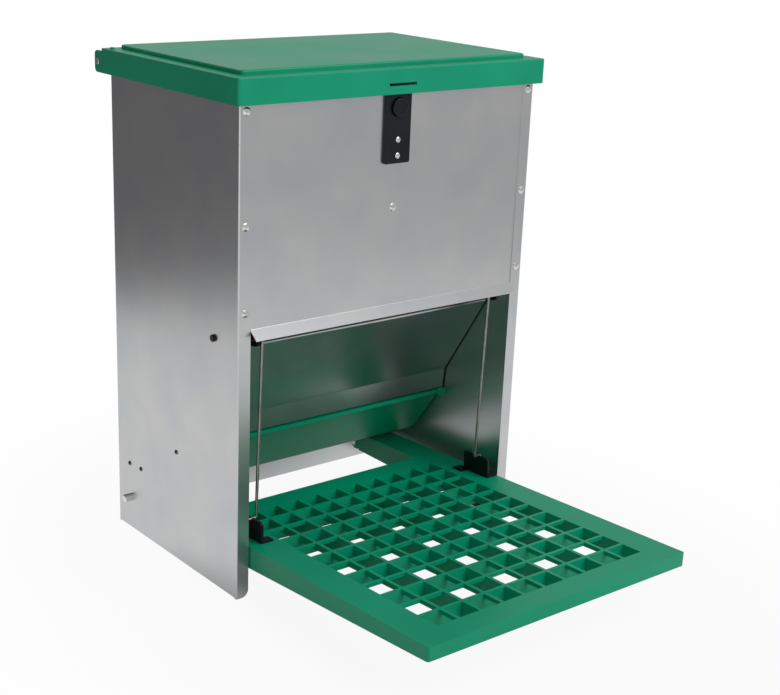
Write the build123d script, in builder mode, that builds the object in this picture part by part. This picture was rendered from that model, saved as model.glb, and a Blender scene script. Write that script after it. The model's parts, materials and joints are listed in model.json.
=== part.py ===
# Hopper feeder for poultry, opened by a treadle: folded sheet cabinet, moulded lid, trough and treadle.
# X runs to the right seen from the front, the front looks along -Y and Z is up, all in mm.
# The cabinet stands on Z = 0. The whole object is centred on X and Y.
import os
from math import atan, cos, radians, sin

from build123d import *

os.makedirs("parts", exist_ok=True)

# Cabinet of galvanised sheet
width = 400
depth = 257.6
front = 9.7
panel_top = 562
sheet = 1
bend = 1
front_flange = 15.6
foot_flange = 12
bend_relief = 4
flange_corner = 8.8
sheet_gap = 0.2
half_width = width / 2
inner_half = half_width - sheet
back = front + depth
panel_half = inner_half - bend - sheet_gap
centre_bend = bend + sheet / 2

# Front panel with its drip lip
lip_bend_height = 305.5
lip_reach = 12.4
lip_drop = 10
lip_half = half_width - front_flange - sheet_gap
back_panel_low = 3

# Rivets
rivet_head = 4.5
rivet_head_height = 1.9
rivet_shank = 2
rivet_tail = 3
rivet_tail_height = 1.2
rivet_inset = 8.4
rivet_top_height = 530.8
latch_rivet_gap = 48.25
rivet_low_height = 323.9
rear_rivet_count = 4
rear_rivet_pitch = 150
rear_rivet_low = 60

# Feed chute behind the front panel
chute_rivet_edge = 11.25
chute_rivet_drop = 12.75
chute_end_depth = 190
chute_end_height = 215

# Flap linkage, as depths behind the cabinet's front and heights above the floor
flap_pivot_depth = 46
flap_pivot_height = 287.5
arm_length = 34.5
arm_rise_angle = 4
treadle_pivot_depth = 231
treadle_pivot_height = 38.2
rod_foot_depth = 19
rod_foot_height = 81.5
wire_radius = 1.7
wire_bend = 3.4
hook_end = 2.5
foot_end = 3.2
rod_side_gap = 3.8
arm_side_gap = 1.4
running_gap = 0.06

# Flap
flap_side_gap = 2
flap_top_height = 270
flap_top_depth = 52.4
flap_return = 15
flap_fold_depth = 121.5
flap_fold_height = 162
flap_end_depth = 124.2
flap_end_height = 136
flap_bend = 2

# Flap arms
arm_thickness = 4.8
arm_tip_radius = 7.5
arm_hub_radius = 9
hook_clearance = 1.1
axle_radius = 4
axle_proud = 3
axle_edge = 0.8
axle_shoulder = 6
axle_side_gap = 0.5
arm_pad_length = 22
arm_pad_height = 3
arm_pad_depth = 14
flap_rivet_pitch = 9
flap_rivet_edge = 4
flap_rivet_head = 3
flap_rivet_head_height = 1.4
flap_rivet_shank = 1.6
flap_rivet_tail = 2.25
flap_rivet_tail_height = 1

# Trough
trough_side_gap = 0.4
trough_back_gap = 1.2
trough_rim_depth = 125
trough_rim_height = 133.8
trough_foot_depth = 174.5
trough_floor_height = 65
trough_wall = 3
trough_corner = 5
trough_end_corner = 12
rim_reach = 3.5
rim_height = 4.5
rim_tab_length = 12
rim_tab_rise = 1
rim_tab_height = 7.8
trough_boss_radius = 4.5
trough_boss_length = 9
rim_screw_inset = 1.8
rim_screw_drop = 1.4
wall_screw_reach = 28.7
wall_screw_rise = 19.3
back_screw_reach = 25.2
back_screw_rise = 18.1
trough_screw_head = 2.8
trough_screw_head_height = 1.7
trough_screw_shank = 1.25
trough_screw_length = 8

# Latch
latch_centre = 0.5
latch_width = 34.5
latch_top_drop = 16
latch_length = 83
latch_thickness = 4
latch_corner = 2.5
latch_edge = 1
button_drop = 39
button_radius = 10.2
button_gap = 0.4
button_proud = 3.4
button_edge = 1.2
tongue_width = 28
tongue_thickness = 2.2
tongue_reach = 12.5
tongue_gap = 0.2
tongue_side_gap = 1.6
nose_height = 2.2
nose_clearance = 0.4
latch_screw_rise = 8.5
latch_screw_pitch = 17
latch_screw_head = 3.2
latch_screw_head_height = 1.6
latch_screw_shank = 1.5
latch_screw_length = 7

# Lid
lid_side_reach = 7.5
lid_front_reach = 8.8
lid_back_reach = 4.4
lid_top_gap = 0.5
lid_skirt = 27.3
lid_wall = 2.5
lid_corner = 3.5
lid_edge = 1.5
crown_side_inset = 15.5
crown_front_depth = 9
crown_back_inset = 14
crown_rise = 4.7
crown_corner = 4
crown_edge = 2
rear_lip_lap = 4.5
ear_end_reach = 6
ear_top_drop = 3.5
ear_corner = 5
lid_slot_width = 37
lid_slot_height = 3
lid_slot_rise = 10.3
stop_bump_radius = 2.5
stop_bump_height = 2
stop_bump_inset = 5
stop_bump_reach = 15

# Lid hinge
hinge_reach = 14.4
hinge_drop = 12.5
hinge_pin_radius = 3.2
hinge_pin_proud = 0.6
hinge_pin_edge = 0.3
hinge_head_radius = 5.5
hinge_head_height = 2
hinge_tab_radius = 5.8
hinge_seat_gap = 0.05

# Treadle
treadle_side_gap = 16.5
treadle_front_depth = -297.4
deck_height = 59.1
deck_fall = 0.0448
under_height = 32.9
under_fall = 0.0804
arm_under_height = 24.5
arm_under_rise = 1.4
boss_radius = 12
slot_front_depth = 110
treadle_arm_width = 38.5
slot_corner = 4
treadle_corner = 3
treadle_border = 37
cell_length = 25.5
column_rib = 4
row_rib = 3.93
columns = 10
rows = 12
first_row_depth = -267
minor_row_depth = 4
minor_column_depth = 8.4
minor_column_fall = 0.0606
skin = 3
border_wall = 4
border_rib = 3
front_pockets = 6
side_pockets = 8
rear_pockets = 5
boss_pocket_gap = 19

# Treadle pivot
pivot_bolt_radius = 3
pivot_head_radius = 4.75
pivot_head_height = 8
pivot_head_edge = 0.8
bolt_overhang = 2
spacer_radius = 6.5
spacer_gap = 0.3
nut_flats = 10
nut_height = 5

# Rod brackets
bracket_inset = 16.7
bracket_thickness = 3
bracket_front_depth = -2
bracket_back_depth = 41
bracket_height = 24.5
bracket_front_corner = 4
bracket_rear_corner = 2
bracket_foot_width = 13
bracket_foot_length = 11
bracket_foot_height = 2.2
bracket_foot_overhang = 9
bracket_peg_radius = 2
bracket_peg_inset = 6

# Widths that follow the cabinet
lid_half = half_width + lid_side_reach
crown_half = lid_half - crown_side_inset
flap_half = inner_half - flap_side_gap
trough_half = inner_half - trough_side_gap
treadle_half = inner_half - treadle_side_gap
slot_half = treadle_half - treadle_arm_width
bracket_inner = treadle_half - bracket_inset
rod_offset = bracket_inner - rod_side_gap
arm_inner = bracket_inner + arm_side_gap
arm_hook_hole = wire_radius + hook_clearance

# Lid, latch and hinge, from the cabinet's top and back
lid_ledge = panel_top + lid_top_gap + lid_wall
lid_low = lid_ledge - lid_skirt
lid_back_depth = depth + lid_back_reach
crown_back_depth = lid_back_depth - crown_back_inset
rear_lip_low = panel_top - rear_lip_lap
ear_top = lid_ledge - ear_top_drop
lid_slot_centre = lid_low + lid_slot_rise
hinge_depth = depth + hinge_reach
hinge_height = panel_top - hinge_drop
ear_end_depth = hinge_depth + ear_end_reach
latch_high = panel_top - latch_top_drop
latch_low = latch_high - latch_length
button_height = panel_top - button_drop
tongue_low = button_height - tongue_reach
nose_low = lid_slot_centre - nose_height / 2
latch_screw_heights = (latch_low + latch_screw_rise + latch_screw_pitch, latch_low + latch_screw_rise)

# Rivet rows, the middle one also holds the chute's flange
rivet_middle_height = latch_low - latch_rivet_gap
rivet_heights = (rivet_top_height, rivet_middle_height, rivet_low_height)
chute_half = panel_half
chute_top = rivet_middle_height + chute_rivet_edge
chute_bend_height = rivet_middle_height - chute_rivet_drop

# Trough screws, as depths and heights
trough_back_depth = depth - 2 * sheet - trough_back_gap
trough_screw_places = (
    (trough_rim_depth - rim_screw_inset, trough_rim_height - rim_screw_drop),
    (trough_foot_depth + wall_screw_reach, trough_floor_height + wall_screw_rise),
    (trough_back_depth - back_screw_reach, trough_floor_height + back_screw_rise),
)

# Linkage and treadle
grid_half = treadle_half - treadle_border
cell_width = (2 * grid_half - column_rib * (columns - 1)) / columns
column_pitch = cell_width + column_rib
row_pitch = cell_length + row_rib
side_pocket_end = treadle_pivot_depth - boss_pocket_gap
flap_pivot = Vector(0, front + flap_pivot_depth, flap_pivot_height)
arm_tip = flap_pivot + Vector(
    0, -arm_length * cos(radians(arm_rise_angle)), arm_length * sin(radians(arm_rise_angle))
)
treadle_pivot = Vector(0, front + treadle_pivot_depth, treadle_pivot_height)
rod_foot = Vector(0, front + rod_foot_depth, rod_foot_height)
hinge_axis = Vector(0, front + hinge_depth, hinge_height)
panel_back_face = front + 2 * sheet
rivet_x = half_width - rivet_inset


# Turned solid with its head above Z = 0 and its shank below
def fastener(head_radius, head_height, shank_radius, length, tail_radius=0, tail_height=0):
    with BuildPart() as made:
        with BuildSketch(Plane.XZ):
            with BuildLine():
                rim = (head_radius, head_height * 0.2)
                crown = (0, head_height)
                TangentArc(crown, rim, tangent=(1, 0))
                Line(crown, (0, -length))
                Line((0, -length), (shank_radius, -length))
                Line((shank_radius, -length), (shank_radius, 0))
                Line((shank_radius, 0), (head_radius, 0))
                Line((head_radius, 0), rim)
            make_face()
        revolve(axis=Axis.Z)
        if tail_height:
            with Locations((0, 0, -length)):
                Cylinder(tail_radius, tail_height, align=(Align.CENTER, Align.CENTER, Align.MAX))
    return made.part


# Fastener with a cross recess in its head
def cross_screw(head_radius, head_height, shank_radius, length):
    blade = head_radius * 0.32
    reach = head_radius * 1.25
    with BuildPart() as made:
        add(fastener(head_radius, head_height, shank_radius, length))
        with Locations((0, 0, head_height)):
            Box(reach, blade, head_height, mode=Mode.SUBTRACT)
            Box(blade, reach, head_height, mode=Mode.SUBTRACT)
    return made.part


# Side panel: front and rear flanges, a foot flange and the tab that carries the lid's hinge pin
def side_panel(side):
    with BuildPart() as panel:
        with BuildSketch(Plane.XY):
            with BuildLine():
                FilletPolyline(
                    (side * (half_width - front_flange), front + sheet / 2),
                    (side * (half_width - sheet / 2), front + sheet / 2),
                    (side * (half_width - sheet / 2), back - sheet * 1.5),
                    (side * (half_width - front_flange), back - sheet * 1.5),
                    radius=centre_bend,
                )
            trace(line_width=sheet)
        extrude(amount=panel_top)
        flange_ends = panel.edges().filter_by(Axis.Y).filter_by(lambda edge: edge.length < 2 * sheet)
        fillet(flange_ends.group_by(Axis.Z)[0], flange_corner)
        # Rear flange stops below the hinge tab
        tab_low = hinge_height - hinge_tab_radius
        with Locations((side * half_width, back, tab_low - bend_relief)):
            Box(
                2 * (front_flange + bend),
                2 * (bend_relief + sheet),
                panel_top,
                align=(Align.CENTER, Align.CENTER, Align.MIN),
                mode=Mode.SUBTRACT,
            )
        with BuildSketch(Plane.YZ.offset(side * inner_half)):
            with Locations((hinge_axis.Y, hinge_height)):
                Circle(hinge_tab_radius)
                Rectangle(
                    hinge_depth - depth + 2 * bend_relief + sheet,
                    2 * hinge_tab_radius,
                    align=(Align.MAX, Align.CENTER),
                )
        extrude(amount=side * sheet)
        # Foot flange between two reliefs
        foot_length = depth - 2 * bend_relief - sheet
        with Locations((side * half_width, front + bend_relief, 0)):
            Box(
                4 * sheet,
                foot_length,
                bend_relief,
                align=(Align.CENTER, Align.MIN, Align.MIN),
                mode=Mode.SUBTRACT,
            )
        with BuildSketch(Plane.XZ.offset(-front - bend_relief)):
            with BuildLine():
                FilletPolyline(
                    (side * (half_width - foot_flange), sheet / 2),
                    (side * (half_width - sheet / 2), sheet / 2),
                    (side * (half_width - sheet / 2), bend_relief),
                    radius=centre_bend,
                )
            trace(line_width=sheet)
        extrude(amount=-foot_length)
        # Holes in the web
        with BuildSketch(Plane.YZ.offset(side * inner_half)):
            with Locations((flap_pivot.Y, flap_pivot.Z)):
                Circle(axle_radius + running_gap)
            with Locations((treadle_pivot.Y, treadle_pivot.Z)):
                Circle(pivot_bolt_radius + running_gap)
            with Locations((hinge_axis.Y, hinge_axis.Z)):
                Circle(hinge_pin_radius + hinge_seat_gap)
            with Locations(*[(front + place[0], place[1]) for place in trough_screw_places]):
                Circle(trough_screw_shank + hinge_seat_gap)
        extrude(amount=2 * sheet, both=True, mode=Mode.SUBTRACT)
        # Rivet holes in the flanges
        with BuildSketch(Plane.XZ.offset(-front)):
            with Locations(*[(side * rivet_x, height) for height in rivet_heights]):
                Circle(rivet_shank)
        extrude(amount=2 * sheet, both=True, mode=Mode.SUBTRACT)
        with BuildSketch(Plane.XZ.offset(-back)):
            with Locations(*rear_rivet_places(side)):
                Circle(rivet_shank)
        extrude(amount=3 * sheet, both=True, mode=Mode.SUBTRACT)
    return panel.part


# Rear rivets of one side, as X and Z
def rear_rivet_places(side):
    heights = [rear_rivet_low + rear_rivet_pitch * place for place in range(rear_rivet_count)]
    return [(side * rivet_x, height) for height in heights]


side_panel_left = side_panel(-1)
side_panel_right = side_panel(1)

# Front panel with its drip lip and the notch for the latch tongue
with BuildPart() as front_panel:
    with BuildSketch(Plane.XZ.offset(-front - sheet)):
        with Locations((0, lip_bend_height)):
            Rectangle(2 * panel_half, panel_top - lip_bend_height, align=(Align.CENTER, Align.MIN))
    extrude(amount=-sheet)
    with BuildSketch(Plane.YZ.offset(-lip_half)):
        with BuildLine():
            FilletPolyline(
                (front + sheet * 1.5, lip_bend_height + lip_drop),
                (front + sheet * 1.5, lip_bend_height),
                (front + sheet * 1.5 - lip_reach, lip_bend_height - lip_drop),
                radius=centre_bend,
            )
        trace(line_width=sheet)
    # The lip's flat part is as wide as the gap between the flanges
    extrude(amount=2 * lip_half)
    with BuildSketch(Plane.XZ.offset(-front)):
        with Locations((latch_centre, tongue_low - tongue_gap)):
            Rectangle(
                tongue_width + tongue_side_gap, panel_top, align=(Align.CENTER, Align.MIN)
            )
        with Locations(*[(side * rivet_x, height) for side in (-1, 1) for height in rivet_heights]):
            Circle(rivet_shank)
        with Locations((0, rivet_heights[1])):
            Circle(rivet_shank)
        with Locations(*[(latch_centre, height) for height in latch_screw_heights]):
            Circle(latch_screw_shank)
    extrude(amount=3 * sheet, both=True, mode=Mode.SUBTRACT)

with BuildPart() as back_panel:
    with BuildSketch(Plane.XZ.offset(-back + sheet)):
        with Locations((0, back_panel_low)):
            Rectangle(2 * panel_half, panel_top - back_panel_low, align=(Align.CENTER, Align.MIN))
    extrude(amount=-sheet)
    fillet(back_panel.edges().filter_by(Axis.Y), bend)
    with BuildSketch(Plane.XZ.offset(-back)):
        with Locations(*rear_rivet_places(-1), *rear_rivet_places(1)):
            Circle(rivet_shank)
    extrude(amount=3 * sheet, both=True, mode=Mode.SUBTRACT)

# Chute that leads the feed to the back of the trough
with BuildPart() as feed_chute:
    with BuildSketch(Plane.YZ.offset(-chute_half)):
        with BuildLine():
            FilletPolyline(
                (panel_back_face + sheet / 2, chute_top),
                (panel_back_face + sheet / 2, chute_bend_height),
                (front + chute_end_depth, chute_end_height),
                radius=4 * bend,
            )
        trace(line_width=sheet)
    extrude(amount=2 * chute_half)
    with BuildSketch(Plane.XZ.offset(-front)):
        with Locations((-rivet_x, rivet_heights[1]), (0, rivet_heights[1]), (rivet_x, rivet_heights[1])):
            Circle(rivet_shank)
    extrude(amount=4 * sheet, both=True, mode=Mode.SUBTRACT)

# Rivets of the front, the middle row also holds the chute
two_sheet_rivet = fastener(rivet_head, rivet_head_height, rivet_shank, 2 * sheet, rivet_tail, rivet_tail_height)
three_sheet_rivet = fastener(rivet_head, rivet_head_height, rivet_shank, 3 * sheet, rivet_tail, rivet_tail_height)
facing_front = (90, 0, 0)
facing_back = (-90, 0, 0)
with BuildPart() as front_rivets:
    for side in (-1, 1):
        with Locations(
            Location((side * rivet_x, front, rivet_heights[0]), facing_front),
            Location((side * rivet_x, front, rivet_heights[2]), facing_front),
        ):
            add(two_sheet_rivet)
        with Locations(Location((side * rivet_x, front, rivet_heights[1]), facing_front)):
            add(three_sheet_rivet)
    with Locations(Location((0, front + sheet, rivet_heights[1]), facing_front)):
        add(two_sheet_rivet)

with BuildPart() as rear_rivets:
    for place in rear_rivet_places(-1) + rear_rivet_places(1):
        with Locations(Location((place[0], back, place[1]), facing_back)):
            add(two_sheet_rivet)

# Trough: shelled moulding with a rim, rim tabs and screw bosses
with BuildPart() as feed_trough:
    with BuildSketch(Plane.YZ.offset(-trough_half)):
        with BuildLine():
            Polyline(
                (front + trough_rim_depth, trough_rim_height),
                (front + trough_foot_depth, trough_floor_height),
                (front + trough_back_depth, trough_floor_height),
                (front + trough_back_depth, trough_rim_height),
                close=True,
            )
        make_face()
    extrude(amount=2 * trough_half)
    fillet(feed_trough.edges().filter_by(Axis.Y).group_by(Axis.Z)[0], trough_end_corner)
    for face_place in (0, -1):
        outline = feed_trough.faces().sort_by(Axis.Y)[face_place].edges()
        fillet(outline.filter_by(lambda edge: edge.center().Z < trough_rim_height - 1), trough_corner)
    offset(amount=-trough_wall, openings=feed_trough.faces().sort_by(Axis.Z)[-1])
    with Locations((0, front + trough_rim_depth - rim_reach, trough_rim_height)):
        Box(
            2 * trough_half,
            rim_reach + trough_wall,
            rim_height,
            align=(Align.CENTER, Align.MIN, Align.MAX),
        )
    for side in (-1, 1):
        tab_front = front + trough_rim_depth - 2 * rim_reach
        with Locations((side * trough_half, tab_front, trough_rim_height + rim_tab_rise)):
            Box(
                rim_tab_length,
                2 * rim_reach + trough_wall,
                rim_tab_height,
                align=(Align.MIN if side < 0 else Align.MAX, Align.MIN, Align.MAX),
            )
        with BuildSketch(Plane.YZ.offset(side * trough_half)):
            with Locations(*[(front + place[0], place[1]) for place in trough_screw_places[1:]]):
                Circle(trough_boss_radius)
        extrude(amount=-side * trough_boss_length)
        with BuildSketch(Plane.YZ.offset(side * trough_half)):
            with Locations(*[(front + place[0], place[1]) for place in trough_screw_places]):
                Circle(trough_screw_shank)
        extrude(amount=-side * trough_screw_length, mode=Mode.SUBTRACT)

trough_screw = cross_screw(
    trough_screw_head, trough_screw_head_height, trough_screw_shank, trough_screw_length
)
with BuildPart() as trough_screws:
    for side in (-1, 1):
        for place in trough_screw_places:
            with Locations(Location((side * half_width, front + place[0], place[1]), (0, side * 90, 0))):
                add(trough_screw)

# Latch housing screwed to the front panel
with BuildPart() as latch_housing:
    with BuildSketch(Plane.XZ.offset(-front - sheet)):
        with Locations((latch_centre, latch_low)):
            Rectangle(latch_width, latch_high - latch_low, align=(Align.CENTER, Align.MIN))
    extrude(amount=latch_thickness)
    fillet(latch_housing.edges().filter_by(Axis.Y), latch_corner)
    fillet(latch_housing.faces().sort_by(Axis.Y)[0].edges(), latch_edge)
    with BuildSketch(Plane.XZ.offset(-front)):
        with Locations((latch_centre, button_height)):
            Circle(button_radius + button_gap)
        with Locations(*[(latch_centre, height) for height in latch_screw_heights]):
            Circle(latch_screw_shank)
    extrude(amount=3 * latch_thickness, both=True, mode=Mode.SUBTRACT)

# Latch button: round head, tongue behind the housing and nose under the lid's skirt
with BuildPart() as latch_button:
    tongue_front = front + sheet + tongue_gap
    with BuildSketch(Plane.XZ.offset(-tongue_front)):
        with Locations((latch_centre, tongue_low)):
            Rectangle(tongue_width, nose_low + nose_height - tongue_low, align=(Align.CENTER, Align.MIN))
    extrude(amount=-tongue_thickness)
    with BuildSketch(Plane.XZ.offset(-tongue_front)):
        with Locations((latch_centre, button_height)):
            Circle(button_radius)
    extrude(amount=tongue_gap + latch_thickness + button_proud)
    fillet(latch_button.faces().sort_by(Axis.Y)[0].edges(), button_edge)
    with BuildSketch(Plane.XY.offset(nose_low)):
        with Locations((latch_centre, tongue_front + tongue_thickness)):
            Rectangle(
                tongue_width,
                tongue_front + tongue_thickness - (front - lid_front_reach + lid_wall + nose_clearance),
                align=(Align.CENTER, Align.MAX),
            )
    extrude(amount=nose_height)

latch_screw = cross_screw(latch_screw_head, latch_screw_head_height, latch_screw_shank, latch_screw_length)
with BuildPart() as latch_screws:
    for height in latch_screw_heights:
        with Locations(Location((latch_centre, front + sheet - latch_thickness, height), facing_front)):
            add(latch_screw)

# Lid: skirted shell with a raised crown, a short rear lip and two ears beside the cabinet
with BuildPart() as lid:
    lid_front = front - lid_front_reach
    lid_back = front + lid_back_depth
    with BuildSketch(Plane.XY.offset(lid_low)):
        with Locations((0, lid_front)):
            Rectangle(2 * lid_half, lid_back - lid_front, align=(Align.CENTER, Align.MIN))
    extrude(amount=lid_ledge - lid_low)
    front_corners = lid.edges().filter_by(Axis.Z).group_by(Axis.Y)[0]
    fillet(front_corners, lid_corner)
    fillet(lid.faces().sort_by(Axis.Z)[-1].edges(), lid_edge)
    with BuildSketch(Plane.XY.offset(lid_ledge - lid_wall)):
        with Locations((0, front + crown_front_depth)):
            Rectangle(2 * crown_half, crown_back_depth - crown_front_depth, align=(Align.CENTER, Align.MIN))
    extrude(amount=lid_wall + crown_rise)
    crown_uprights = lid.edges().filter_by(Axis.Z).filter_by(
        lambda edge: abs(edge.center().Z - lid_ledge - crown_rise / 2) < lid_wall
        and abs(edge.center().X) < crown_half + 1
    )
    fillet(crown_uprights, crown_corner)
    fillet(lid.faces().sort_by(Axis.Z)[-1].edges(), crown_edge)
    # Hollow of the skirt and of the crown
    with BuildSketch(Plane.XY.offset(lid_low)):
        with Locations((0, lid_front + lid_wall)):
            Rectangle(
                2 * (lid_half - lid_wall),
                lid_back - lid_front - 2 * lid_wall,
                align=(Align.CENTER, Align.MIN),
            )
    extrude(amount=lid_ledge - lid_wall - lid_low, mode=Mode.SUBTRACT)
    with BuildSketch(Plane.XY.offset(lid_low)):
        with Locations((0, front + crown_front_depth + lid_wall)):
            Rectangle(
                2 * (crown_half - lid_wall),
                crown_back_depth - crown_front_depth - 2 * lid_wall,
                align=(Align.CENTER, Align.MIN),
            )
    extrude(amount=lid_ledge + crown_rise - lid_wall - lid_low, mode=Mode.SUBTRACT)
    # The rear wall is cut to a short lip
    with BuildSketch(Plane.XY.offset(lid_low)):
        with Locations((0, lid_back + sheet)):
            Rectangle(
                2 * (lid_half - lid_wall), lid_wall + 2 * sheet, align=(Align.CENTER, Align.MAX)
            )
    extrude(amount=rear_lip_low - lid_low, mode=Mode.SUBTRACT)
    # Ears
    for side in (-1, 1):
        with BuildSketch(Plane.YZ.offset(side * lid_half)):
            with Locations((lid_back - 2 * ear_corner, lid_low)):
                Rectangle(
                    front + ear_end_depth - lid_back + 2 * ear_corner,
                    ear_top - lid_low,
                    align=(Align.MIN, Align.MIN),
                )
        extrude(amount=-side * lid_wall)
    ear_ends = lid.edges().filter_by(Axis.X).group_by(Axis.Y)[-1]
    fillet(ear_ends, ear_corner)
    # Pin holes, slot for the latch and stop bumps
    with BuildSketch(Plane.YZ):
        with Locations((hinge_axis.Y, hinge_axis.Z)):
            Circle(hinge_pin_radius + running_gap)
    extrude(amount=2 * lid_half, both=True, mode=Mode.SUBTRACT)
    with BuildSketch(Plane.XZ.offset(-lid_front)):
        with Locations((0, lid_slot_centre)):
            Rectangle(lid_slot_width, lid_slot_height)
    extrude(amount=2 * lid_wall, both=True, mode=Mode.SUBTRACT)
    stop_bump_x = lid_half - stop_bump_inset
    with Locations(*[(side * stop_bump_x, lid_back - stop_bump_reach, lid_ledge) for side in (-1, 1)]):
        Cylinder(stop_bump_radius, 2 * stop_bump_height)

# Hinge pins, put in from inside the cabinet
with BuildPart() as hinge_pins:
    for side in (-1, 1):
        with Locations(Location((side * inner_half, hinge_axis.Y, hinge_axis.Z), (0, side * 90, 0))):
            Cylinder(
                hinge_pin_radius,
                lid_half - inner_half + hinge_pin_proud,
                align=(Align.CENTER, Align.CENTER, Align.MIN),
            )
            Cylinder(
                hinge_head_radius, hinge_head_height, align=(Align.CENTER, Align.CENTER, Align.MAX)
            )
    chamfer(hinge_pins.edges().filter_by(GeomType.CIRCLE).group_by(Axis.X)[0], hinge_pin_edge)
    chamfer(hinge_pins.edges().filter_by(GeomType.CIRCLE).group_by(Axis.X)[-1], hinge_pin_edge)

# Flap: return flange, sloping face and upright lip
with BuildPart() as flap:
    with BuildSketch(Plane.YZ.offset(-flap_half)):
        with BuildLine():
            FilletPolyline(
                (front + flap_top_depth + flap_return, flap_top_height),
                (front + flap_top_depth, flap_top_height),
                (front + flap_fold_depth, flap_fold_height),
                (front + flap_end_depth, flap_end_height),
                radius=flap_bend,
            )
        trace(line_width=sheet)
    extrude(amount=2 * flap_half)
    flap_rivet_depth = front + flap_top_depth + flap_return - arm_pad_depth / 2
    flap_rivet_x = [
        arm_inner + arm_thickness - arm_pad_length + flap_rivet_edge + flap_rivet_pitch * place
        for place in range(2)
    ]
    flap_rivet_places = [(side * x, flap_rivet_depth) for side in (-1, 1) for x in flap_rivet_x]
    with BuildSketch(Plane.XY.offset(flap_top_height)):
        with Locations(*flap_rivet_places):
            Circle(flap_rivet_shank)
    extrude(amount=2 * sheet, both=True, mode=Mode.SUBTRACT)


# Flap arm: lever with the rod's hook hole, a pad on the flap's return flange and the axle
def flap_arm(side):
    pad_low = flap_top_height + sheet / 2
    with BuildPart() as arm:
        with BuildSketch(Plane.YZ.offset(side * arm_inner)):
            with BuildSketch(Plane.XY, mode=Mode.PRIVATE) as lever:
                with Locations((arm_tip.Y, arm_tip.Z)):
                    Circle(arm_tip_radius)
                with Locations((flap_pivot.Y, flap_pivot.Z)):
                    Circle(arm_hub_radius)
                make_hull()
            add(lever.sketch)
            with BuildSketch(Plane.XY, mode=Mode.PRIVATE) as leg:
                with Locations((flap_pivot.Y, flap_pivot.Z)):
                    Circle(arm_hub_radius)
                with Locations((front + flap_top_depth + flap_return, pad_low)):
                    Rectangle(arm_pad_depth, arm_pad_height, align=(Align.MAX, Align.MIN))
                make_hull()
            add(leg.sketch)
        extrude(amount=side * arm_thickness)
        with Locations((side * (arm_inner + arm_thickness), front + flap_top_depth + flap_return, pad_low)):
            Box(
                arm_pad_length,
                arm_pad_depth,
                arm_pad_height,
                align=(Align.MIN if side < 0 else Align.MAX, Align.MAX, Align.MIN),
            )
        with Locations(Location((side * arm_inner, flap_pivot.Y, flap_pivot.Z), (0, side * 90, 0))):
            Cylinder(
                axle_shoulder,
                inner_half - axle_side_gap - arm_inner,
                align=(Align.CENTER, Align.CENTER, Align.MIN),
            )
            Cylinder(
                axle_radius,
                half_width + axle_proud - arm_inner,
                align=(Align.CENTER, Align.CENTER, Align.MIN),
            )
        axle_end = arm.faces().sort_by(Axis.X)[0 if side < 0 else -1]
        chamfer(axle_end.edges(), axle_edge)
        with BuildSketch(Plane.YZ.offset(side * arm_inner)):
            with Locations((arm_tip.Y, arm_tip.Z)):
                Circle(arm_hook_hole)
        extrude(amount=2 * arm_thickness, both=True, mode=Mode.SUBTRACT)
        with BuildSketch(Plane.XY.offset(pad_low)):
            with Locations(*[(side * x, flap_rivet_depth) for x in flap_rivet_x]):
                Circle(flap_rivet_shank)
        extrude(amount=2 * arm_pad_height, both=True, mode=Mode.SUBTRACT)
    return arm.part


flap_arm_left = flap_arm(-1)
flap_arm_right = flap_arm(1)

flap_rivet = fastener(
    flap_rivet_head,
    flap_rivet_head_height,
    flap_rivet_shank,
    sheet + arm_pad_height,
    flap_rivet_tail,
    flap_rivet_tail_height,
)
with BuildPart() as flap_rivets:
    with Locations(
        *[(x, y, flap_top_height + sheet / 2 + arm_pad_height) for x, y in flap_rivet_places]
    ):
        add(flap_rivet)


# Link rod of bent wire, hooked through the flap arm above and the bracket below
def link_rod(side):
    top_end = Vector(side * (arm_inner + arm_thickness + hook_end), arm_tip.Y, arm_tip.Z)
    top_bend = Vector(side * rod_offset, arm_tip.Y, arm_tip.Z)
    low_bend = Vector(side * rod_offset, rod_foot.Y, rod_foot.Z)
    low_end = Vector(side * (bracket_inner + bracket_thickness + foot_end), rod_foot.Y, rod_foot.Z)
    with BuildPart() as rod:
        with BuildLine() as path:
            FilletPolyline(top_end, top_bend, low_bend, low_end, radius=wire_bend)
        with BuildSketch(Plane(origin=top_end, z_dir=(-side, 0, 0))):
            Circle(wire_radius)
        sweep(path=path.line)
    return rod.part


link_rod_left = link_rod(-1)
link_rod_right = link_rod(1)

# Plane of the treadle's sloping deck, through the cabinet's front
deck_tilt = atan(deck_fall)
deck_normal = Vector(0, sin(deck_tilt), cos(deck_tilt))
deck_plane = Plane(origin=(0, front, deck_height), x_dir=(1, 0, 0), z_dir=deck_normal)
minor_column_plane = Plane(
    origin=(0, front, deck_height - minor_column_depth),
    x_dir=(1, 0, 0),
    z_dir=(0, sin(atan(minor_column_fall)), cos(atan(minor_column_fall))),
)
grid_centre = first_row_depth / cos(deck_tilt) + (row_pitch * (rows - 1) + cell_length) / 2
grid_front = grid_centre - (row_pitch * (rows - 1) + cell_length) / 2
grid_back = grid_centre + (row_pitch * (rows - 1) + cell_length) / 2
through = 80

bracket_low_left = -bracket_inner - bracket_thickness
bracket_low_right = bracket_inner


# Pegs of one bracket, as X and the depth along the deck
def bracket_peg_places(low_x):
    return [
        (low_x + bracket_thickness + bracket_foot_width / 2, bracket_front_depth + bracket_foot_length / 2),
        (
            low_x - (bracket_foot_width - bracket_thickness) / 2,
            bracket_back_depth + bracket_foot_overhang - bracket_peg_inset,
        ),
    ]


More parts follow.
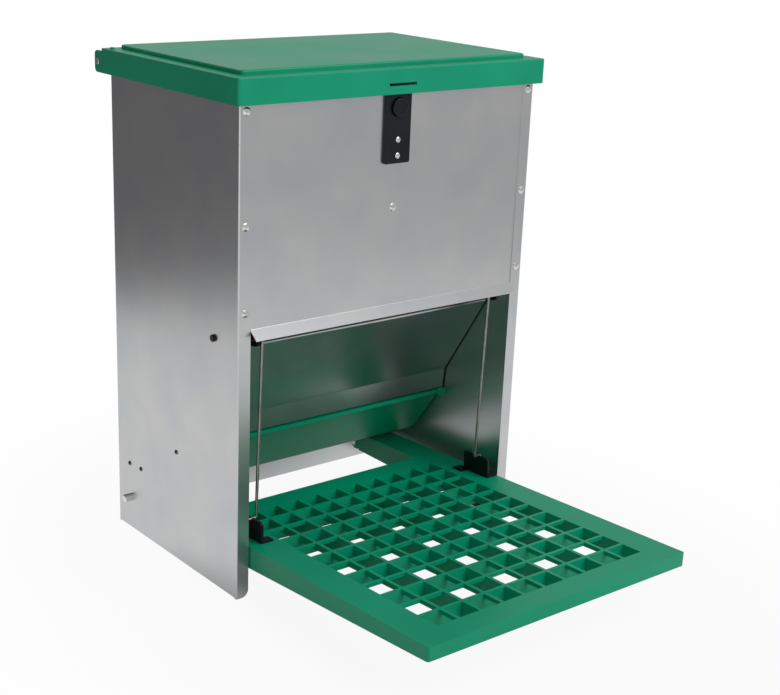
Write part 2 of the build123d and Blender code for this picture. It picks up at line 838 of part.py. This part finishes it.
# Space below the minor ribs: a pocket under each pair of columns and rows
with BuildPart() as under_minor_ribs:
    pair_width = column_pitch + cell_width
    pair_length = row_pitch + cell_length
    with BuildSketch(deck_plane):
        with Locations((0, grid_centre)):
            with GridLocations(2 * column_pitch, 2 * row_pitch, columns // 2, rows // 2 - 1):
                Rectangle(pair_width, pair_length)
            with GridLocations(2 * column_pitch, row_pitch * (rows - 1), columns // 2, 2):
                Rectangle(pair_width, cell_length)
    extrude(amount=-through)
    split(bisect_by=minor_column_plane, keep=Keep.BOTTOM)
    with BuildSketch(deck_plane.offset(-minor_row_depth)):
        with Locations((0, grid_centre)):
            with GridLocations(column_pitch, 2 * row_pitch, columns, rows // 2 - 1):
                Rectangle(cell_width, pair_length)
    extrude(amount=-through)

# Treadle: sloping deck with a two-level grid, two arms and their pivot bosses
with BuildPart() as treadle:
    deck_front = deck_height - deck_fall * treadle_front_depth
    under_front = under_height - under_fall * treadle_front_depth
    arm_under_depth = (under_height - arm_under_height) / under_fall
    boss_low_depth = treadle_pivot_depth - boss_radius * 0.6
    with BuildSketch(Plane.YZ.offset(-treadle_half)):
        with BuildLine():
            Polyline(
                (front + treadle_front_depth, deck_front),
                (front + treadle_front_depth, under_front),
                (front + arm_under_depth, arm_under_height),
                (front + boss_low_depth, arm_under_height + arm_under_rise),
                (treadle_pivot.Y, treadle_pivot.Z),
                (treadle_pivot.Y, deck_height - deck_fall * treadle_pivot_depth),
                close=True,
            )
        make_face()
        with Locations((treadle_pivot.Y, treadle_pivot.Z)):
            Circle(boss_radius)
    extrude(amount=2 * treadle_half)
    fillet(treadle.edges().filter_by(Axis.Z).group_by(Axis.Y)[0], treadle_corner)
    with BuildSketch(Plane.XY):
        with Locations((0, front + slot_front_depth)):
            Rectangle(2 * slot_half, depth, align=(Align.CENTER, Align.MIN))
    extrude(amount=2 * through, mode=Mode.SUBTRACT)
    slot_edges = treadle.edges().filter_by(Axis.Z).filter_by(
        lambda edge: abs(edge.center().Y - front - slot_front_depth) < 1
    )
    fillet(slot_edges, slot_corner)
    # Square cells, a deep rib at every second line and shallower minor ribs between
    with BuildSketch(deck_plane):
        with Locations((0, grid_centre)):
            with GridLocations(column_pitch, row_pitch, columns, rows):
                Rectangle(cell_width, cell_length)
    extrude(amount=-through, mode=Mode.SUBTRACT)
    add(under_minor_ribs.part, mode=Mode.SUBTRACT)
    # Ribbed hollows under the borders
    pocket_half = treadle_half - skin
    front_run = grid_front - border_wall - (treadle_front_depth / cos(deck_tilt) + skin)
    front_width = (2 * pocket_half - border_rib * (front_pockets - 1)) / front_pockets
    side_inner = grid_half + border_wall
    side_run = side_pocket_end - grid_front
    side_length = (side_run - border_rib * (side_pockets - 1)) / side_pockets
    rear_front = grid_back + border_wall
    rear_run = slot_front_depth - skin - rear_front
    rear_width = (2 * grid_half - border_rib * (rear_pockets - 1)) / rear_pockets
    with BuildSketch(deck_plane.offset(-skin)):
        with Locations((0, grid_front - border_wall - front_run / 2)):
            with GridLocations(front_width + border_rib, 1, front_pockets, 1):
                Rectangle(front_width, front_run)
        for side in (-1, 1):
            with Locations((side * (side_inner + pocket_half) / 2, grid_front + side_run / 2)):
                with GridLocations(1, side_length + border_rib, 1, side_pockets):
                    Rectangle(pocket_half - side_inner, side_length)
        with Locations((0, rear_front + rear_run / 2)):
            with GridLocations(rear_width + border_rib, 1, rear_pockets, 1):
                Rectangle(rear_width, rear_run)
    extrude(amount=-through, mode=Mode.SUBTRACT)
    # Holes for the brackets' pegs
    with BuildSketch(deck_plane):
        with Locations(*bracket_peg_places(bracket_low_left), *bracket_peg_places(bracket_low_right)):
            Circle(bracket_peg_radius + running_gap)
    extrude(amount=-2 * skin, mode=Mode.SUBTRACT)
    with BuildSketch(Plane.YZ):
        with Locations((treadle_pivot.Y, treadle_pivot.Z)):
            Circle(pivot_bolt_radius + running_gap)
    extrude(amount=width, both=True, mode=Mode.SUBTRACT)

# Rod brackets: the same moulding on both sides, with a front foot to the right and a rear foot to the left
foot_u = deck_plane.to_local_coords(rod_foot).Y
foot_v = deck_plane.to_local_coords(rod_foot).Z


def rod_bracket(low_x):
    side_plane = Plane(
        origin=(low_x, front, deck_height), x_dir=(0, cos(deck_tilt), -sin(deck_tilt)), z_dir=(1, 0, 0)
    )
    with BuildPart() as bracket:
        with BuildSketch(side_plane):
            with Locations((bracket_front_depth, 0)):
                Rectangle(
                    bracket_back_depth - bracket_front_depth,
                    bracket_height,
                    align=(Align.MIN, Align.MIN),
                )
        extrude(amount=bracket_thickness)
        upper_edges = bracket.edges().filter_by(Axis.X).sort_by(Axis.Z)[-2:]
        fillet(upper_edges.sort_by(Axis.Y)[0], bracket_front_corner)
        fillet(upper_edges.sort_by(Axis.Y)[-1], bracket_rear_corner)
        with BuildSketch(deck_plane):
            with Locations((low_x, bracket_front_depth)):
                Rectangle(
                    bracket_foot_width + bracket_thickness,
                    bracket_foot_length,
                    align=(Align.MIN, Align.MIN),
                )
            with Locations((low_x + bracket_thickness, bracket_back_depth + bracket_foot_overhang)):
                Rectangle(
                    bracket_foot_width,
                    bracket_foot_length + bracket_foot_overhang / 2,
                    align=(Align.MAX, Align.MAX),
                )
        extrude(amount=bracket_foot_height)
        with BuildSketch(side_plane):
            with Locations((foot_u, foot_v)):
                Circle(wire_radius + running_gap)
        extrude(amount=2 * bracket_thickness, both=True, mode=Mode.SUBTRACT)
        with BuildSketch(deck_plane):
            with Locations(*bracket_peg_places(low_x)):
                Circle(bracket_peg_radius)
        extrude(amount=-skin)
    return bracket.part


rod_bracket_left = rod_bracket(bracket_low_left)
rod_bracket_right = rod_bracket(bracket_low_right)

# Treadle pivot: bolt with a round head outside, a spacer and a nut inside
bolt_length = half_width - slot_half + nut_height + bolt_overhang
with BuildPart() as pivot_bolts:
    for side in (-1, 1):
        with Locations(Location((side * half_width, treadle_pivot.Y, treadle_pivot.Z), (0, side * 90, 0))):
            Cylinder(
                pivot_head_radius, pivot_head_height, align=(Align.CENTER, Align.CENTER, Align.MIN)
            )
            Cylinder(
                pivot_bolt_radius, bolt_length, align=(Align.CENTER, Align.CENTER, Align.MAX)
            )
    chamfer(pivot_bolts.edges().filter_by(GeomType.CIRCLE).group_by(Axis.X)[0], pivot_head_edge)
    chamfer(pivot_bolts.edges().filter_by(GeomType.CIRCLE).group_by(Axis.X)[-1], pivot_head_edge)

with BuildPart() as pivot_spacers:
    for side in (-1, 1):
        with BuildSketch(Plane.YZ.offset(side * (treadle_half + spacer_gap))):
            with Locations((treadle_pivot.Y, treadle_pivot.Z)):
                Circle(spacer_radius)
                Circle(pivot_bolt_radius + running_gap, mode=Mode.SUBTRACT)
        extrude(amount=side * (inner_half - treadle_half - spacer_gap))

with BuildPart() as pivot_nuts:
    for side in (-1, 1):
        with BuildSketch(Plane.YZ.offset(side * (slot_half - spacer_gap))):
            with Locations((treadle_pivot.Y, treadle_pivot.Z)):
                RegularPolygon(nut_flats / 2, 6, major_radius=False)
                Circle(pivot_bolt_radius, mode=Mode.SUBTRACT)
        extrude(amount=-side * nut_height)

pieces = {
    "side_panel_left": side_panel_left,
    "side_panel_right": side_panel_right,
    "front_panel": front_panel.part,
    "back_panel": back_panel.part,
    "feed_chute": feed_chute.part,
    "front_rivets": front_rivets.part,
    "rear_rivets": rear_rivets.part,
    "feed_trough": feed_trough.part,
    "trough_screws": trough_screws.part,
    "latch_housing": latch_housing.part,
    "latch_button": latch_button.part,
    "latch_screws": latch_screws.part,
    "lid": lid.part,
    "hinge_pins": hinge_pins.part,
    "flap": flap.part,
    "flap_arm_left": flap_arm_left,
    "flap_arm_right": flap_arm_right,
    "flap_rivets": flap_rivets.part,
    "link_rod_left": link_rod_left,
    "link_rod_right": link_rod_right,
    "treadle": treadle.part,
    "rod_bracket_left": rod_bracket_left,
    "rod_bracket_right": rod_bracket_right,
    "pivot_bolts": pivot_bolts.part,
    "pivot_spacers": pivot_spacers.part,
    "pivot_nuts": pivot_nuts.part,
}
for name, piece in pieces.items():
    piece.label = name
    export_step(piece, f"parts/{name}.step")
    box = piece.bounding_box()
    corners = [round(value, 1) for value in (*box.min, *box.max)]
    print(name, len(piece.solids()), corners, round(piece.volume / 1000, 1))
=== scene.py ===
# Poultry treadle feeder: looks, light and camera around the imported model
import json
import math

import bpy
import numpy as np
from mathutils import Matrix, Vector


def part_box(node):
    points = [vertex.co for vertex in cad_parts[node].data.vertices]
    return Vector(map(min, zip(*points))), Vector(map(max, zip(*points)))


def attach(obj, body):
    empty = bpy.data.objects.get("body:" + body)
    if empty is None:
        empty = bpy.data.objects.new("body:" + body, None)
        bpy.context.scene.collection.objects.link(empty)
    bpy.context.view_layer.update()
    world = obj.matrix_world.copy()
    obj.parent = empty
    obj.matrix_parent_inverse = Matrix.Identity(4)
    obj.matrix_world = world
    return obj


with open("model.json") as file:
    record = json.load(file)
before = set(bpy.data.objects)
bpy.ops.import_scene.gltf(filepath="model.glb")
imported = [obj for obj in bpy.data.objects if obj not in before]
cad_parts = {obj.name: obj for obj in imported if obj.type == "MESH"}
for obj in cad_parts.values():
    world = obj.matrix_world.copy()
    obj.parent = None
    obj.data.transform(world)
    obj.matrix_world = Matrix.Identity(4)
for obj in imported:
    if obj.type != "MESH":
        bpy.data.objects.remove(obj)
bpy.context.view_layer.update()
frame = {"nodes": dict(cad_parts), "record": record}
nodes = frame["nodes"]
mm = 0.001


# An sRGB hex colour as linear red, green, blue and alpha, by the standard's own curve
def hexColour(code):
    parts = [int(code[i : i + 2], 16) / 255 for i in (1, 3, 5)]
    return [c / 12.92 if c <= 0.04045 else ((c + 0.055) / 1.055) ** 2.4 for c in parts] + [1.0]


plainWhite = hexColour("#FFFFFF")


# Adds one node with its settings and its incoming links, by socket name or number
def addNode(tree, kind, settings=None, links=None):
    node = tree.nodes.new(kind)
    for name, value in (settings or {}).items():
        if isinstance(name, int) or name in node.inputs:
            node.inputs[name].default_value = value
        else:
            setattr(node, name, value)
    for name, source in (links or {}).items():
        tree.links.new(source, node.inputs[name])
    return node


# A material whose node tree is still empty
def newMaterial(name):
    material = bpy.data.materials.new(name)
    material.use_nodes = True
    material.node_tree.nodes.clear()
    return material, material.node_tree


print("materials")
noiseRange = (0.35, 0.65)  # where most of a noise's values lie
reliefDepth = 0.1  # mm, height of a relief at full strength


# A finish from its dictionary. Each pattern is a noise of a real width on the piece itself. The "tone"
# pattern leads the colour, the "gloss" pattern the roughness, and those in "relief" stand up from the face
def makeFinish(name, look):
    material, tree = newMaterial(name)
    place = addNode(tree, "ShaderNodeTexCoord")
    noises = {}
    for pattern, (width, detail) in look["patterns"].items():
        scaled = addNode(
            tree,
            "ShaderNodeMapping",
            {"Scale": tuple(1 / (side * mm) for side in np.broadcast_to(width, 3))},
            {"Vector": place.outputs["Object"]},
        )
        noise = addNode(
            tree,
            "ShaderNodeTexNoise",
            {"Scale": 1.0, "Detail": detail},
            {"Vector": scaled.outputs["Vector"]},
        )
        noises[pattern] = noise.outputs["Fac"]
    ramp = addNode(tree, "ShaderNodeValToRGB", links={"Fac": noises[look["tone"]]})
    for stop, position, code in zip(ramp.color_ramp.elements, noiseRange, look["colours"]):
        stop.position = position
        stop.color = hexColour(code)
    low, high = noiseRange
    smooth, rough = look["roughness"]
    gloss = addNode(
        tree,
        "ShaderNodeMapRange",
        {"From Min": low, "From Max": high, "To Min": smooth, "To Max": rough},
        {"Value": noises[look["gloss"]]},
    )
    surface = {"Base Color": ramp.outputs["Color"], "Roughness": gloss.outputs["Result"]}
    for pattern, strength in look["relief"].items():
        under = {"Normal": surface["Normal"]} if "Normal" in surface else {}
        bump = addNode(
            tree,
            "ShaderNodeBump",
            {"Strength": strength, "Distance": reliefDepth * mm},
            {"Height": noises[pattern], **under},
        )
        surface["Normal"] = bump.outputs["Normal"]
    shader = addNode(tree, "ShaderNodeBsdfPrincipled", look["shader"], surface)
    addNode(tree, "ShaderNodeOutputMaterial", links={"Surface": shader.outputs["BSDF"]})
    return material


# Galvanised sheet steel, hot dipped and skin passed: a soft grey gloss with faint clouds and upright lines
galvanisedFront = {
    "shader": {"Metallic": 1.0},
    "colours": ("#BCBFC2", "#C4C5C4"),
    "roughness": (0.275, 0.285),
    "patterns": {  # the width in mm, one or along X, Y and Z, and the noise's detail
        "clouds": (60, 3.0),  # in the zinc
        "lines": ((1.3, 120, 120), 3.0),  # from rolling, drawn coarse enough to show
        "grain": (0.9, 2.0),  # from the skin pass, drawn coarse enough to show
    },
    "tone": "clouds",
    "gloss": "lines",
    "relief": {"lines": 0.006, "grain": 0.006},
}
sheetLook = makeFinish("galvanised sheet, skin passed", galvanisedFront)

# The same sheet on the side panels, where the upright lines lie side by side along Y
sideLines = {"lines": ((120, 1.3, 120), 3.0)}
galvanisedSide = {**galvanisedFront, "patterns": {**galvanisedFront["patterns"], **sideLines}}
sideLook = makeFinish("galvanised side sheet, skin passed", galvanisedSide)

# Polypropylene, injection moulded: an even green, satin, with faint flow marks and a fine mould texture
greenMoulding = {
    "shader": {"IOR": 1.5, "Specular IOR Level": 0.28},
    "colours": ("#00976F", "#009F77"),
    "roughness": (0.33, 0.40),
    "patterns": {
        "flow": (110, 3.0),
        "grain": (0.8, 2.0),  # spark-eroded mould, drawn coarse enough to show
    },
    "tone": "flow",
    "gloss": "flow",
    "relief": {"grain": 0.05},
}
greenLook = makeFinish("polypropylene, injection moulded green", greenMoulding)

# Nylon, injection moulded black: close to black, with the same satin and texture as the green
blackMoulding = {
    "shader": {"IOR": 1.5, "Specular IOR Level": 0.25},
    "colours": ("#0C0E12", "#111319"),
    "roughness": (0.30, 0.40),
    "patterns": {
        "flow": (30, 3.0),
        "grain": (0.7, 2.0),  # spark-eroded mould, drawn coarse enough to show
    },
    "tone": "flow",
    "gloss": "flow",
    "relief": {"grain": 0.05},
}
blackLook = makeFinish("nylon, injection moulded black", blackMoulding)

# Zinc plated steel, cold headed: bright, with small dull patches
platedHeads = {
    "shader": {"Metallic": 1.0},
    "colours": ("#C8C8C5", "#DEDEDC"),
    "roughness": (0.12, 0.22),
    "patterns": {"patches": (4, 2.0)},
    "tone": "patches",
    "gloss": "patches",
    "relief": {},
}
zincLook = makeFinish("zinc plated steel, headed", platedHeads)

# Galvanised steel wire, drawn: greyer and duller than the heads
drawnWire = {
    "shader": {"Metallic": 1.0},
    "colours": ("#8B8A84", "#A3A29C"),
    "roughness": (0.30, 0.42),
    "patterns": {"patches": (12, 2.0)},
    "tone": "patches",
    "gloss": "patches",
    "relief": {},
}
wireLook = makeFinish("galvanised wire, drawn", drawnWire)

# Screws of the trough: zinc on steel painted dark grey as painted shade for their drive recesses and the
# dark they sit in, so that they look like dots with a glint
paintedShadeHeads = {
    "shader": {"Metallic": 1.0},
    "colours": ("#454649", "#5E5F62"),
    "roughness": (0.14, 0.24),
    "patterns": {"patches": (2, 2.0)},
    "tone": "patches",
    "gloss": "patches",
    "relief": {},
}
paintedShadeScrewLook = makeFinish("zinc on steel, headed, painted shade", paintedShadeHeads)

# Nylon, turned and left natural: ivory and nearly matt, with fine tool marks
turnedNylon = {
    "shader": {"IOR": 1.5, "Specular IOR Level": 0.5},
    "colours": ("#C2C0B7", "#CBC9C1"),
    "roughness": (0.46, 0.52),
    "patterns": {
        "flow": (8, 3.0),
        "grain": (0.6, 2.0),  # tool marks, drawn coarse enough to show
    },
    "tone": "flow",
    "gloss": "flow",
    "relief": {"grain": 0.08},
}
spacerLook = makeFinish("nylon, turned natural", turnedNylon)

finishes = {
    "galvanised": sheetLook,
    "green_plastic": greenLook,
    "black_plastic": blackLook,
    "zinc_steel": zincLook,
    "spacer_plastic": spacerLook,
}
ownLooks = {
    "side_panel_left": sideLook,
    "side_panel_right": sideLook,
    # the trough's screws take the dark grey of painted shade
    "trough_screws": paintedShadeScrewLook,
    "link_rod_left": wireLook,
    "link_rod_right": wireLook,
}
for part in frame["record"]["subparts"]:
    finish = ownLooks.get(part["node"], finishes[part["material_slot"]])
    nodes[part["node"]].material_slots[0].material = finish

print("edges")
treadleEdges = {
    "radius": 0.6,  # mm
    "segments": 2,
    "angle": 40,  # degrees, the least turn between faces that counts as an edge
    "seam": 0.005,  # mm, within which the corners of loose triangles are joined
}


# Rounds a part's sharp edges with a small radius, once its loose triangles are joined
def roundEdges(node, edges):
    weld = node.modifiers.new("joined faces", "WELD")
    weld.merge_threshold = edges["seam"] * mm
    bevel = node.modifiers.new("edge radius", "BEVEL")
    bevel.width = edges["radius"] * mm
    bevel.segments = edges["segments"]
    bevel.limit_method = "ANGLE"
    bevel.angle_limit = math.radians(edges["angle"])
    bevel.harden_normals = True


roundEdges(nodes["treadle"], treadleEdges)

print("mould marks")
lidMarks = {
    "pinRadius": 4.0,  # mm, ejector pins
    "pinColumns": (-165, -55, 55, 165),  # mm along X, across the lid
    "pinRows": (52, 145, 238),  # mm along Y, from its front to its back
    "gateRadius": 3.0,  # mm, where the plastic came in
    "gatePlace": (0, 145),  # mm along X and Y
    "lidWall": 2.5,  # mm, from the lid's top down to its inner face
    "rim": 0.5,  # mm, width of the raised rim
    "rimTop": (0.3, 0.7),  # start and end of the rim's flat top, as shares of its width
    "height": 0.25,  # mm, how far the rim stands off the face
    "sink": 0.06,  # mm, how far the rim's foot goes into the face
    "around": 48,  # points in one turn
}


# Low rings hanging under a flat face. A ring is a surface of two parameters: a turn round its centre, and
# a place on the rim's profile, which goes out from the radius, down to the flat top and back into the face
def addRings(name, body, face, centres, radius):
    rim, height, sink = lidMarks["rim"], lidMarks["height"], lidMarks["sink"]
    out = radius + rim * np.array([0, *lidMarks["rimTop"], 1])
    down = np.array([sink, -height, -height, sink])
    turn = np.linspace(0, 2 * np.pi, lidMarks["around"], endpoint=False)
    middle = np.array(centres, dtype=float)
    x = middle[:, None, None, 0] + out[None, None, :] * np.cos(turn)[None, :, None]
    y = middle[:, None, None, 1] + out[None, None, :] * np.sin(turn)[None, :, None]
    z = np.broadcast_to(face + down, x.shape)
    points = np.stack([x, y, z], axis=-1).reshape(-1, 3) * mm
    ring, step, place = np.meshgrid(
        np.arange(len(middle)), np.arange(len(turn)), np.arange(len(out)), indexing="ij"
    )
    nextStep, nextPlace = (step + 1) % len(turn), (place + 1) % len(out)
    corners = [(step, place), (nextStep, place), (nextStep, nextPlace), (step, nextPlace)]
    quads = np.stack([(ring * len(turn) + s) * len(out) + p for s, p in corners], axis=-1)
    mesh = bpy.data.meshes.new(name)
    mesh.from_pydata(points.tolist(), [], quads.reshape(-1, 4).tolist())
    mesh.materials.append(greenLook)
    rings = bpy.data.objects.new(name, mesh)
    bpy.context.scene.collection.objects.link(rings)
    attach(rings, body)


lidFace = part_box("lid")[1][2] / mm - lidMarks["lidWall"]
pinPlaces = [(x, y) for x in lidMarks["pinColumns"] for y in lidMarks["pinRows"]]
addRings("lid_pin_marks", "lid", lidFace, pinPlaces, lidMarks["pinRadius"])
addRings("lid_gate_mark", "lid", lidFace, [lidMarks["gatePlace"]], lidMarks["gateRadius"])

print("floor and light")
studio = {
    "floorSize": 8.0,  # m
    "floorGap": 0.3,  # mm under the feet, so that floor and feet don't share one plane
    "paper": "#D6D6D6",
    "paperRoughness": 0.9,
    "footprint": (0.2, 0.29),  # m, half width and half depth of the shaded oval round the treadle
    "footprintY": -0.13,  # m, the oval's middle
    "glow": (0.92, 1.0),  # share of the paper that the camera sees as plain white, near and far
    "glowReach": (1.0, 3.0),  # where that share rises, in ovals from the middle
    "mirror": (0.06, 0.87),  # the same share in reflections, under the treadle and beside it
    "mirrorReach": (0.9, 1.5),
    "skyMirror": 0.42,  # share of plain white that reflections see in the sky
    "sky": 0.22,  # strength of the soft light from all round
}
softboxes = {  # m and W
    "key": {"place": (0.85, -1.95, 2.25), "aim": (0, -0.1, 0.25), "size": 2.6, "power": 61.0},
    "back fill": {"place": (-0.1, 2.1, 1.3), "aim": (0, 0, 0.3), "size": 1.2, "power": 8.0},
    "low fill": {"place": (-1.35, -1.0, 0.65), "aim": (0, 0, 0.35), "size": 1.2, "power": 2.4},
}
cards = {  # m, with the grey that the galvanised sheet mirrors
    "dark card": {"centre": (-0.80, 0.97), "width": 2.2, "height": 1.6, "colour": "#727071"},
    "grey card": {"centre": (0.66, -1.02), "width": 2.0, "height": 1.4, "colour": "#C2C2C2"},
}


# The share of plain white that a ray sees: "direct" through the camera and clear material, "mirror" in
# reflections. Each one is a number or a socket
def shareOfWhite(tree, direct, mirror):
    rays = addNode(tree, "ShaderNodeLightPath")
    straight = addNode(
        tree,
        "ShaderNodeMath",
        {"operation": "MAXIMUM"},
        {0: rays.outputs["Is Camera Ray"], 1: rays.outputs["Is Transmission Ray"]},
    )
    products = []
    for ray, share in ((straight.outputs[0], direct), (rays.outputs["Is Glossy Ray"], mirror)):
        settings, links = {"operation": "MULTIPLY"}, {0: ray}
        (settings if isinstance(share, float) else links)[1] = share
        products.append(addNode(tree, "ShaderNodeMath", settings, links).outputs[0])
    larger = addNode(tree, "ShaderNodeMath", {"operation": "MAXIMUM"}, dict(enumerate(products)))
    return larger.outputs[0]


# A flat sheet of paper or card between four corners
def addSheet(name, corners, material):
    mesh = bpy.data.meshes.new(name)
    mesh.from_pydata(corners, [], [(0, 1, 2, 3)])
    mesh.materials.append(material)
    sheet = bpy.data.objects.new(name, mesh)
    bpy.context.scene.collection.objects.link(sheet)
    return sheet


# White paper floor: pale in its own light, white to the camera, with the object's shadow kept
def addFloor():
    material, tree = newMaterial("paper floor")
    paper = addNode(
        tree,
        "ShaderNodeBsdfPrincipled",
        {"Base Color": hexColour(studio["paper"]), "Roughness": studio["paperRoughness"]},
    )
    white = addNode(tree, "ShaderNodeEmission", {"Color": plainWhite, "Strength": 1.0})
    place = addNode(tree, "ShaderNodeTexCoord")
    halfX, halfY = studio["footprint"]
    inFootprints = addNode(
        tree,
        "ShaderNodeMapping",
        {"Scale": (1 / halfX, 1 / halfY, 0), "Location": (0, -studio["footprintY"] / halfY, 0)},
        {"Vector": place.outputs["Object"]},
    )
    away = addNode(tree, "ShaderNodeVectorMath", {"operation": "LENGTH"}, {0: inFootprints.outputs[0]})
    shares = []
    for share, reach in (("glow", "glowReach"), ("mirror", "mirrorReach")):
        (near, far), (start, end) = studio[share], studio[reach]
        fade = addNode(
            tree,
            "ShaderNodeMapRange",
            {"From Min": start, "From Max": end, "To Min": near, "To Max": far},
            {"Value": away.outputs["Value"]},
        )
        shares.append(fade.outputs["Result"])
    mixed = addNode(
        tree,
        "ShaderNodeMixShader",
        links={0: shareOfWhite(tree, *shares), 1: paper.outputs[0], 2: white.outputs[0]},
    )
    addNode(tree, "ShaderNodeOutputMaterial", links={"Surface": mixed.outputs[0]})
    material.cycles.emission_sampling = "NONE"
    half = studio["floorSize"] / 2
    low = -studio["floorGap"] * mm
    addSheet(
        "floor",
        [(-half, -half, low), (half, -half, low), (half, half, low), (-half, half, low)],
        material,
    )


# An upright card that faces the object and shows in reflections only
def addCard(name, card):
    material, tree = newMaterial(name)
    grey = addNode(tree, "ShaderNodeEmission", {"Color": hexColour(card["colour"]), "Strength": 1.0})
    addNode(tree, "ShaderNodeOutputMaterial", links={"Surface": grey.outputs[0]})
    material.cycles.emission_sampling = "NONE"
    x, y = card["centre"]
    away = math.hypot(x, y)
    dx, dy = -y / away * card["width"] / 2, x / away * card["width"] / 2
    top = card["height"]
    sheet = addSheet(
        name,
        [(x - dx, y - dy, 0), (x + dx, y + dy, 0), (x + dx, y + dy, top), (x - dx, y - dy, top)],
        material,
    )
    sheet.visible_camera = False
    sheet.visible_diffuse = False
    sheet.visible_shadow = False
    sheet.visible_transmission = False


# A square lamp aimed at a point of the object and hidden from the camera
def addSoftbox(name, box):
    data = bpy.data.lights.new(name, "AREA")
    data.shape = "SQUARE"
    data.size = box["size"]
    data.energy = box["power"]
    lamp = bpy.data.objects.new(name, data)
    bpy.context.scene.collection.objects.link(lamp)
    lamp.location = box["place"]
    lamp.rotation_euler = (Vector(box["aim"]) - lamp.location).to_track_quat("-Z", "Y").to_euler()
    lamp.visible_camera = False


# Soft light from all round that shows as white
def addSky():
    world = bpy.data.worlds.new("studio")
    bpy.context.scene.world = world
    world.use_nodes = True
    tree = world.node_tree
    tree.nodes.clear()
    soft = addNode(tree, "ShaderNodeBackground", {"Color": plainWhite, "Strength": studio["sky"]})
    white = addNode(tree, "ShaderNodeBackground", {"Color": plainWhite, "Strength": 1.0})
    seen = shareOfWhite(tree, 1.0, studio["skyMirror"])
    mixed = addNode(tree, "ShaderNodeMixShader", links={0: seen, 1: soft.outputs[0], 2: white.outputs[0]})
    addNode(tree, "ShaderNodeOutputWorld", links={"Surface": mixed.outputs[0]})


addFloor()
for name, card in cards.items():
    addCard(name, card)
for name, box in softboxes.items():
    addSoftbox(name, box)
addSky()

print("camera")
lensView = {
    "place": (-1.001, -1.19299, 0.75257),  # m, in front of the feeder and to its left
    "azimuth": 38.82129,  # degrees from straight ahead towards the right
    "pitch": 18.64907,  # degrees downwards
    "roll": 2.04673,  # degrees round the line of sight
    "focal": 1468.974,  # pixels of the frame
    "centre": (363.34, 372.8),  # principal point, pixels of the frame
    "frame": (780, 695),  # pixels, the frame in which this view was measured
    "sensor": 36,  # mm, width
}


# The camera's axes are its line of sight from azimuth and pitch, a level line rolled about it, and the
# cross product of the two
def addCamera():
    azimuth = math.radians(lensView["azimuth"])
    pitch = math.radians(lensView["pitch"])
    ahead = Vector(
        (math.sin(azimuth) * math.cos(pitch), math.cos(azimuth) * math.cos(pitch), -math.sin(pitch))
    )
    level = Vector((math.cos(azimuth), -math.sin(azimuth), 0))
    turned = Matrix.Rotation(-math.radians(lensView["roll"]), 3, ahead) @ level
    upright = turned.cross(ahead)
    axes = Matrix((turned, upright, -ahead)).transposed().to_4x4()
    data = bpy.data.cameras.new("camera")
    data.sensor_width = lensView["sensor"]
    width, height = lensView["frame"]
    data.lens = lensView["focal"] / width * data.sensor_width
    data.shift_x = (width / 2 - lensView["centre"][0]) / width
    data.shift_y = (lensView["centre"][1] - height / 2) / width
    camera = bpy.data.objects.new("camera", data)
    bpy.context.scene.collection.objects.link(camera)
    camera.matrix_world = Matrix.Translation(Vector(lensView["place"])) @ axes
    bpy.context.scene.camera = camera


addCamera()
bpy.context.scene.view_settings.view_transform = "Standard"
